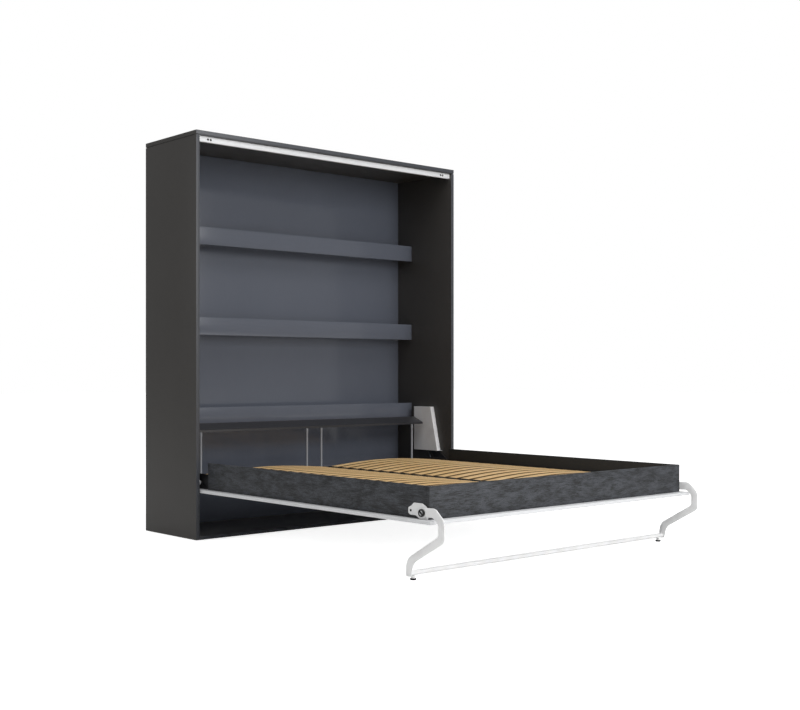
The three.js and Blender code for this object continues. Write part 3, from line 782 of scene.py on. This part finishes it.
class WALLBED_OT_mechanism(bpy.types.Operator):
    """Builds the mechanism plates, axle bushes, covers, hinge plates and gas springs"""

    bl_idname = "wallbed.mechanism"
    bl_label = "Folding mechanism"

    def execute(self, context):
        for side, _ in SIDES:
            softened(f"mechanism_plate_{side}", f"spring_plate_{side}", "black_powder_coat",
                     "cabinet", 0.7 * MM)
            softened(f"mechanism_cover_{side}", f"spring_cover_{side}", "grey_powder_coat",
                     "cabinet", 0.6 * MM)
            softened(f"hinge_plate_{side}", f"bed_hinge_{side}", "black_powder_coat",
                     "bed", 0.8 * MM)
            self.bush(side)
            self.gas_spring(side)
        return {"FINISHED"}

    def bush(self, side):
        """The axle's bush: a ring with chamfered ends, turned about the axle."""
        low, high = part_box(f"axle_bush_{side}")
        radius, bore, chamfer = (high.z - low.z) / 2, 8.4 * MM, 1.2 * MM
        long = high.x - low.x
        profile = [(bore, 0), (radius - chamfer, 0), (radius, chamfer), (radius, long - chamfer),
                   (radius - chamfer, long), (bore, long), (bore, 0)]
        points, faces = turned_parts(profile)
        centre = (low.x, (low.y + high.y) / 2, (low.z + high.z) / 2)
        new_piece(f"bush_{side}", placed((points, faces), centre), "grey_powder_coat", "cabinet",
                  (f"axle_bush_{side}",))

    def gas_spring(self, side):
        """A painted cylinder with rolled shoulders and a nitrided rod, each turned about the
        spring's line, with a flat eye or cap turned about X at its end."""
        anchor = np.array(joint_named(f"spring_tilt_{side}")["pos_m"])
        run = np.array(joint_named(f"spring_stroke_{side}")["axis"])
        eye, end_eye, half = 9 * MM, 10 * MM, 4 * MM
        stud_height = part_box(f"gas_rod_{side}")[0].z + end_eye
        reach = (stud_height - anchor[2]) / run[2]
        turn = np.array([run, (1.0, 0.0, 0.0), np.cross(run, (1.0, 0.0, 0.0))])
        start, tube, radius = 13 * MM, 220 * MM, 10 * MM
        nose, mouth = 5 * MM, 4.6 * MM
        end = start + tube
        shoulder = radius * np.sin(quarter(4))
        setback = 4 * MM * (1 - np.cos(quarter(4)))
        body = [(0, start - 6 * MM), (nose, start - 6 * MM), (nose, start),
                *zip(np.maximum(shoulder, nose), start + setback),
                *zip(np.maximum(shoulder, mouth)[::-1], end - setback[::-1]),
                (mouth, end), (mouth, end - 20 * MM), (0, end - 20 * MM)]
        points, faces = turned_parts(body, 36)
        ring = turned_parts([(mouth, -half), (eye, -half), (eye, half), (mouth, half),
                             (mouth, -half)], 32)
        new_piece(f"spring_tube_{side}",
                  together([(points @ turn + anchor, faces), placed(ring, anchor)]),
                  "black_powder_coat", f"spring_body_{side}",
                  (f"gas_cylinder_{side}",))
        rod = [(0, start + 8 * MM), (4 * MM, start + 8 * MM), (4 * MM, reach - 22 * MM),
               (6 * MM, reach - 21 * MM), (6 * MM, reach - 8 * MM), (0, reach - 6 * MM)]
        points, faces = turned_parts(rod, 28)
        cap = turned_parts([(0, -half), (end_eye - 1 * MM, -half), (end_eye, -half + 1 * MM),
                            (end_eye, half - 1 * MM), (end_eye - 1 * MM, half), (0, half)], 36)
        new_piece(f"spring_rod_{side}",
                  together([(points @ turn + anchor, faces), placed(cap, anchor + run * reach)]),
                  "nitrided_steel", f"spring_rod_{side}", (f"gas_rod_{side}",))


# --- Bed --------------------------------------------------------------------------------------

class WALLBED_OT_bed_box(bpy.types.Operator):
    """Builds the white door panel, the slate-look box round the mattress and the steel frame"""

    bl_idname = "wallbed.bed_box"
    bl_label = "Bed box"

    def execute(self, context):
        board("door_board", "door_panel", "white_melamine", "bed")
        bed_middle = middle("door_panel")
        foot = board("box_foot", "foot_board", "slate_melamine", "bed")
        # Faces that look into the box take painted shade.
        mark_painted_box_shade(foot.data, 1, bed_middle)
        for side, _ in SIDES:
            wall = board(f"box_side_{side}", f"bed_side_{side}", "slate_melamine", "bed")
            mark_painted_box_shade(wall.data, 0, bed_middle)
            self.steel(f"bed_rail_{side}", f"frame_rail_{side}")
        self.steel("centre_beam", "frame_beam")
        self.steel("head_crossbar", "frame_crossbar")
        return {"FINISHED"}

    def steel(self, node, name):
        """An angle or T bar of the frame, with the round edges of rolled steel."""
        softened(node, name, "black_powder_coat", "bed", 1.2 * MM)


# How much higher a slat stands at mid span than at its ends.
SLAT_CROWN = 24 * MM


class WALLBED_OT_slats(bpy.types.Operator):
    """Builds both halves of the slatted base: arched beech slats with caps on black strips"""

    bl_idname = "wallbed.slats"
    bl_label = "Slats"

    def execute(self, context):
        sizes = context.scene.wall_bed_sizes
        for side, sign in SIDES:
            low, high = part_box(f"slat_bank_{side}")
            inner, outer = sorted((abs(low.x), abs(high.x)))
            span = (inner + 2 * MM, outer - 2 * MM)
            rows = high.y - sizes.slat_width / 2 - np.arange(sizes.slat_count) * sizes.slat_pitch
            end_height = high.z - SLAT_CROWN
            self.bank(side, sign, span, rows, end_height, sizes)
            self.holders(side, sign, (inner, outer), rows, low.z, end_height, sizes)
        return {"FINISHED"}

    def bank(self, side, sign, span, rows, end_height, sizes):
        """Slats as one piece. A slat's section is a rectangle with round corners, carried along X
        while its height follows a half wave of a sine, so that it stands highest at mid span."""
        edge, width, thick = sizes.slat_edge, sizes.slat_width, sizes.slat_thickness
        rings = board_rings((span[0], -width / 2, -thick), (span[1], width / 2, 0), edge)
        rings = self.with_stations(rings, 22)
        wave = np.sin(np.pi * (rings[..., 0] - span[0]) / (span[1] - span[0]))
        rings[..., 2] += end_height + SLAT_CROWN * wave
        lots = [tube_parts(rings + np.array([0, row, 0])) for row in rows]
        points, faces = together(lots)
        piece = new_piece(f"beech_slats_{side}", (mirrored(points, sign), faces),
                          "lacquered_beech", "bed", (f"slat_bank_{side}",))
        self.mark_plies(piece.data, span, end_height, thick)

    def with_stations(self, rings, count):
        """The rings of a straight board with more of them, evenly spaced, along its middle."""
        half = len(rings) // 2
        share = np.linspace(0, 1, count + 2)[1:-1, None, None]
        between = rings[half - 1] + share * (rings[half] - rings[half - 1])
        return np.concatenate([rings[:half], between, rings[half:]])

    def mark_plies(self, mesh, span, end_height, thick):
        """Stores how far up through the slat each point lies, from 0 below to 1 on top."""
        place = field(mesh.vertices, "co")
        share = (np.abs(place[:, 0]) - span[0]) / (span[1] - span[0])
        bottom = end_height - thick + SLAT_CROWN * np.sin(np.pi * share)
        store(mesh, "ply", "POINT", (place[:, 2] - bottom) / thick)

    def holders(self, side, sign, reach, rows, foot, end_height, sizes):
        """Two strips under the slats' ends and a moulded cap on the end of every slat."""
        strip, cap, lip = 12 * MM, 18 * MM, 2 * MM
        top = end_height - sizes.slat_thickness
        ends = (rows[-1] - sizes.slat_width / 2, rows[0] + sizes.slat_width / 2)
        parts = []
        for start in (reach[0], reach[1] - strip):
            parts.append(tube_parts(board_rings((start, ends[0], foot), (start + strip, ends[1], top),
                                                1 * MM, 2)))
            first = start if start == reach[0] else reach[1] - cap
            for row in rows:
                reach_y = sizes.slat_width / 2 + lip
                parts.append(tube_parts(board_rings(
                    (first, row - reach_y, top - lip), (first + cap, row + reach_y, end_height + lip),
                    1.2 * MM, 2)))
        points, faces = together(parts)
        new_piece(f"slat_holders_{side}", (mirrored(points, sign), faces), "black_polyamide",
                  "bed")


class WALLBED_OT_head_stop(bpy.types.Operator):
    """Builds the mattress stop: four posts of round bar under a sloping board"""

    bl_idname = "wallbed.head_stop"
    bl_label = "Mattress stop"

    def execute(self, context):
        for side, _ in SIDES:
            for place in ("outer", "inner"):
                self.post(f"{side}_{place}")
        self.sloping_board(context.scene.wall_bed_sizes.board_edge)
        return {"FINISHED"}

    def post(self, name):
        """An upright bar with a flange at its foot and a screwed ferrule under the board, turned
        about Z."""
        low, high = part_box(f"head_post_{name}")
        radius, tall = (high.x - low.x) / 2, high.z - low.z
        profile = [(0, 0), (13 * MM, 0), (13 * MM, 2 * MM), (11.5 * MM, 3 * MM),
                   (radius + 0.6 * MM, 3.4 * MM), (radius, 4.6 * MM), (radius, tall - 22 * MM),
                   (radius + 1.2 * MM, tall - 21 * MM), (radius + 1.2 * MM, tall - 0.8 * MM),
                   (radius, tall), (0, tall)]
        new_piece(f"stop_post_{name}", upright(profile, 32, low, high), "post_powder_coat",
                  "bed", (f"head_post_{name}",))

    def sloping_board(self, radius):
        """A board that rises towards the wall: a slanted four-sided section carried along X."""
        low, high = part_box("head_board")
        front = 12 * MM
        outline = np.array([(low.y, low.z), (high.y, high.z - front), (high.y, high.z),
                            (low.y, low.z + front)])
        share = np.linspace(0, 1, 12, endpoint=False)[:, None]
        sides = [a + share * (b - a) for a, b in zip(outline, np.roll(outline, -1, 0))]
        piece = plate_piece("stop_board", np.concatenate(sides), [], (low.x, high.x), radius,
                            "dark_melamine", "bed", ("head_board",))
        paint_front_light_mask(piece.data, 2)


# --- Leg --------------------------------------------------------------------------------------

def arm_outline():
    """The bent arm in millimetres from its pivot, anticlockwise: a round head, a neck that passes
    over the door's edge, a bend down past it, a slanting run and a turned-in toe."""
    return without_repeats(np.concatenate([
        arc_points((0, 0), 22, -135, 90, 24),
        curve_points((-60, 24), (-76, 24), (-87, 14)),
        curve_points((-116, -13), (-129, -26), (-129, -46)),
        curve_points((-129, -96), (-129, -112), (-115, -121)),
        curve_points((34, -208), (51, -219), (58, -237)),
        curve_points((66, -270), (67, -281), (78, -281)),
        curve_points((90, -281), (100, -281), (99, -270)),
        curve_points((97, -240), (93, -204), (68, -189)),
        curve_points((-82, -99), (-93, -92), (-93, -80)),
        curve_points((-93, -54), (-93, -40), (-82, -32)),
        curve_points((-82, -32), (-68, -14), (-52, -16)),
        curve_points((-52, -16), (-38, -18), (-15.6, -15.6)),
    ]))


def pivot_plate_outline():
    """The plate on the bed box in millimetres from the pivot, anticlockwise. Each corner is cut
    back 4 mm along both of its sides and rounded."""
    corners = np.array([(-24, -28), (24, -28), (48, -15), (82, -15), (93, -8), (93, 16), (74, 25),
                        (60, 38.5), (8, 38.5), (-16, 26), (-24, 8)], float)
    rounded = []
    for before, corner, after in zip(np.roll(corners, 1, 0), corners, np.roll(corners, -1, 0)):
        back = 4 * (before - corner) / np.linalg.norm(before - corner)
        on = 4 * (after - corner) / np.linalg.norm(after - corner)
        rounded.append(curve_points(corner + back, corner, corner + on, 3))
    return np.concatenate(rounded)


# The small screw in the pivot plate, in millimetres from the pivot.
PLATE_SCREW = (77.5, 4)


class WALLBED_OT_leg(bpy.types.Operator):
    """Builds the folding leg: arms, crossbar, rubber feet, pivot plates and bolts"""

    bl_idname = "wallbed.leg"
    bl_label = "Folding leg"

    def execute(self, context):
        rim = context.scene.wall_bed_sizes.plate_edge
        for side, sign in SIDES:
            pivot = middle(f"leg_bolt_{side}")[1:]
            self.plate(f"arm_{side}", f"leg_arm_{side}", arm_outline(), [], pivot, rim, "leg")
            holes = [arc_points((0, 0), 6.4, 0, 345, 23), arc_points(PLATE_SCREW, 4, 0, 345, 23)]
            self.plate(f"pivot_plate_{side}", f"leg_plate_{side}", pivot_plate_outline(), holes,
                       pivot, rim, "bed")
            self.bolt(side, sign)
            self.plate_screw(side, sign, pivot)
            self.foot(side)
        self.crossbar()
        return {"FINISHED"}

    def plate(self, name, node, outline, holes, pivot, rim, body):
        """A flat steel part cut to an outline given in millimetres from the pivot."""
        low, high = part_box(node)
        plate_piece(name, outline * MM + pivot, [hole * MM + pivot for hole in holes],
                    (low.x, high.x), rim, "white_powder_coat", body, (node,))

    def bolt(self, side, sign):
        """A collar, a shank and a black cap with a sunk middle, turned about the pivot; in the
        middle sits a slotted screw."""
        low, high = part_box(f"leg_bolt_{side}")
        arm = [abs(corner.x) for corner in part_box(f"leg_arm_{side}")]
        start, end = sorted((abs(low.x), abs(high.x)))
        under, over = min(arm) - 0.3 * MM, max(arm) + 0.3 * MM
        profile = [(0, start), (6 * MM, start), (6 * MM, start + 4.6 * MM), (13 * MM, start + 4.6 * MM),
                   (13 * MM, under), (6 * MM, under), (6 * MM, over), (17 * MM, over),
                   (17 * MM, end - 4 * MM), (16.3 * MM, end - 1.6 * MM), (14.8 * MM, end - 0.4 * MM),
                   (13 * MM, end), (12 * MM, end - 0.6 * MM), (11.6 * MM, end - 4 * MM),
                   (0, end - 4 * MM)]
        points, faces = turned_parts(profile)
        centre = (0, (low.y + high.y) / 2, (low.z + high.z) / 2)
        new_piece(f"pivot_bolt_{side}", placed((mirrored(points, sign), faces), centre),
                  "black_polyamide", "bed", (f"leg_bolt_{side}",))
        self.slotted_screw(side, sign, centre, end)

    def plate_screw(self, side, sign, pivot):
        """The domed black screw in the pivot plate's small hole, turned about X."""
        face = max(abs(corner.x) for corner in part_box(f"leg_plate_{side}"))
        profile = [(0, face - 4 * MM), (3.6 * MM, face - 4 * MM), (3.6 * MM, face),
                   (5.4 * MM, face), (5.2 * MM, face + 0.8 * MM), (4 * MM, face + 1.8 * MM),
                   (2.2 * MM, face + 2.3 * MM), (0, face + 2.4 * MM)]
        points, faces = turned_parts(profile, 32)
        centre = np.array([0, *pivot]) + np.array([0, *PLATE_SCREW]) * MM
        new_piece(f"plate_screw_{side}", placed((mirrored(points, sign), faces), centre),
                  "black_rubber", "bed")

    def slotted_screw(self, side, sign, centre, end):
        """Two slices of a disc with a broad slot between them, tilted 40 degrees."""
        tilt = math.radians(40)
        turn = np.array([[math.cos(tilt), math.sin(tilt)], [-math.sin(tilt), math.cos(tilt)]])
        span = sorted((sign * (end - 4 * MM), sign * (end - 1.4 * MM)))
        for name, first in (("upper", 30), ("lower", 210)):
            half = arc_points((0, 0), 10.4, first, first + 120, 16) * MM
            plate_piece(f"pivot_screw_{side}_{name}", half @ turn + np.array(centre[1:]), [], span,
                        0.4 * MM, "zinc_plated_steel", "bed", ())

    def foot(self, side):
        """A rubber tread with a round rim under a short white stem, both turned about Z."""
        low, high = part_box(f"leg_foot_{side}")
        wide, tall = (high.x - low.x) / 2, high.z - low.z
        tread = [(0, 0), (0.86 * wide, 0), (0.97 * wide, 0.07 * tall), (wide, 0.2 * tall),
                 (0.97 * wide, 0.36 * tall), (0.86 * wide, 0.42 * tall), (0, 0.42 * tall)]
        stem = [(0, 0.43 * tall), (9 * MM, 0.43 * tall), (9 * MM, tall), (0, tall)]
        new_piece(f"rubber_foot_{side}", upright(tread, 40, low, high), "black_rubber", "leg",
                  (f"leg_foot_{side}",))
        new_piece(f"foot_stem_{side}", upright(stem, 32, low, high), "white_powder_coat", "leg")

    def crossbar(self):
        """A round tube between the arms with a weld fillet at each end."""
        low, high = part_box("leg_crossbar")
        radius, half, fillet = (high.z - low.z) / 2, (high.x - low.x) / 2, 3 * MM
        run = fillet * (1 - np.cos(quarter(4)))
        thin = 1.5 * MM
        rise = radius - thin + thin * (1 - np.sin(quarter(4)))
        profile = [(0, -half), *zip(rise, -half + run), *zip(rise[::-1], half - run[::-1]), (0, half)]
        centre = (0, (low.y + high.y) / 2, (low.z + high.z) / 2)
        new_piece("foot_crossbar", placed(turned_parts(profile), centre), "white_powder_coat",
                  "leg", ("leg_crossbar",))


# --- Stage ------------------------------------------------------------------------------------

WHITE = (1.0, 1.0, 1.0, 1.0)


class WALLBED_OT_stage(bpy.types.Operator):
    """Builds the pale floor, the soft lights and the camera"""

    bl_idname = "wallbed.stage"
    bl_label = "Stage"

    def execute(self, context):
        context.scene.view_settings.view_transform = "Standard"
        self.floor()
        self.world(context.scene)
        self.light("key", (0.6, -6.5, 3.2), (0, 0, 0.9), 3.4, 255)
        self.light("top", (-0.5, -1.8, 5.5), (0, -0.5, 0.3), 4.5, 170)
        self.light("left", (-6.0, 1.8, 2.6), (-0.9, 0.6, 1.0), 2.6, 48)
        self.camera(context.scene)
        return {"FINISHED"}

    def floor(self):
        """A flat pale floor out to 40 m. To the camera, part of its light is its own, which keeps
        its shadows faint and its white the same as the surround's."""
        reach = 40.0
        corners = np.array([(-reach, -reach, 0), (reach, -reach, 0), (reach, reach, 0),
                            (-reach, reach, 0)]) + np.array([0, 0, CAD_BOX[0].z - 0.5 * MM])
        mesh = mesh_of("floor", (corners, [(0, 1, 2, 3)]))
        material, tree, place = new_material("pale_floor")
        cloud = add_node(tree, NOISE, {"Scale": 1 / 0.6, "Detail": 2.0}, {"Vector": place})
        tone = add_node(tree, MIX, {"data_type": "RGBA", FIRST: linear("#f6f6f5"),
                                    SECOND: linear("#fafaf9")}, {0: cloud}, MIXED)
        seen = add_node(tree, "ShaderNodeLightPath", out="Is Camera Ray")
        glow = add_node(tree, MATHS, {"operation": "MULTIPLY", 1: 0.86}, {0: seen})
        mesh.materials.append(surfaced(material, {"Roughness": 0.75, "Emission Color": WHITE},
                                       {"Base Color": tone, "Emission Strength": glow}))
        plane = bpy.data.objects.new("floor", mesh)
        bpy.context.scene.collection.objects.link(plane)

    def world(self, scene):
        """An even surround that the camera sees white and that lights the bed more softly."""
        world = bpy.data.worlds.new("studio")
        world.use_nodes = True
        surround = world.node_tree.nodes["Background"]
        surround.inputs["Color"].default_value = WHITE
        seen = add_node(world.node_tree, "ShaderNodeLightPath", out="Is Camera Ray")
        strength = add_node(world.node_tree, RANGE, {"To Min": 0.28}, {"Value": seen})
        world.node_tree.links.new(strength, surround.inputs["Strength"])
        scene.world = world

    def light(self, name, place, aim, size, power):
        """A square soft box that faces a point."""
        lamp = bpy.data.lights.new(name, "AREA")
        lamp.shape = "SQUARE"
        lamp.size = size
        lamp.energy = power
        box = bpy.data.objects.new(name, lamp)
        away = np.array(place) - np.array(aim)
        flat = math.hypot(away[0], away[1])
        box.location = place
        box.rotation_euler = (math.atan2(flat, away[2]), 0, math.atan2(away[0], -away[1]))
        bpy.context.scene.collection.objects.link(box)

    def camera(self, scene):
        """A level camera to the left of the foot end, with a little shift."""
        data = bpy.data.cameras.new("camera")
        data.lens = 52.62
        data.sensor_width = 36.0
        data.shift_x = 0.1188
        data.shift_y = 0.0219
        data.clip_end = 200.0
        camera = bpy.data.objects.new("camera", data)
        camera.location = (-4.4565, -4.5145, 0.8925)
        camera.rotation_euler = (math.radians(90), 0, math.radians(-39.35))
        scene.collection.objects.link(camera)
        scene.camera = camera


# --- Add-on -----------------------------------------------------------------------------------

OPERATORS = (
    WALLBED_OT_cabinet, WALLBED_OT_fittings, WALLBED_OT_mechanism, WALLBED_OT_bed_box,
    WALLBED_OT_slats, WALLBED_OT_head_stop, WALLBED_OT_leg, WALLBED_OT_stage,
)


class WALLBED_PT_panel(bpy.types.Panel):
    """Lists the bed's operators, sizes and colours in the sidebar"""

    bl_idname = "WALLBED_PT_panel"
    bl_label = "Wall Bed"
    bl_space_type = "VIEW_3D"
    bl_region_type = "UI"
    bl_category = "Wall Bed"

    def draw(self, context):
        for kind in OPERATORS:
            self.layout.operator(kind.bl_idname)
        for group in (context.scene.wall_bed_sizes, context.scene.wall_bed_colours):
            box = self.layout.box()
            for name in group.__annotations__:
                box.prop(group, name)


CLASSES = (WallBedSizes, WallBedColours, *OPERATORS, WALLBED_PT_panel)


def register():
    for kind in CLASSES:
        bpy.utils.register_class(kind)
    bpy.types.Scene.wall_bed_sizes = PointerProperty(type=WallBedSizes)
    bpy.types.Scene.wall_bed_colours = PointerProperty(type=WallBedColours)


def unregister():
    del bpy.types.Scene.wall_bed_colours
    del bpy.types.Scene.wall_bed_sizes
    for kind in reversed(CLASSES):
        bpy.utils.unregister_class(kind)


def main():
    register()
    bpy.ops.wallbed.cabinet()
    bpy.ops.wallbed.fittings()
    bpy.ops.wallbed.mechanism()
    bpy.ops.wallbed.bed_box()
    bpy.ops.wallbed.slats()
    bpy.ops.wallbed.head_stop()
    bpy.ops.wallbed.leg()
    bpy.ops.wallbed.stage()
    bpy.context.view_layer.update()


if __name__ == "__main__":
    main()
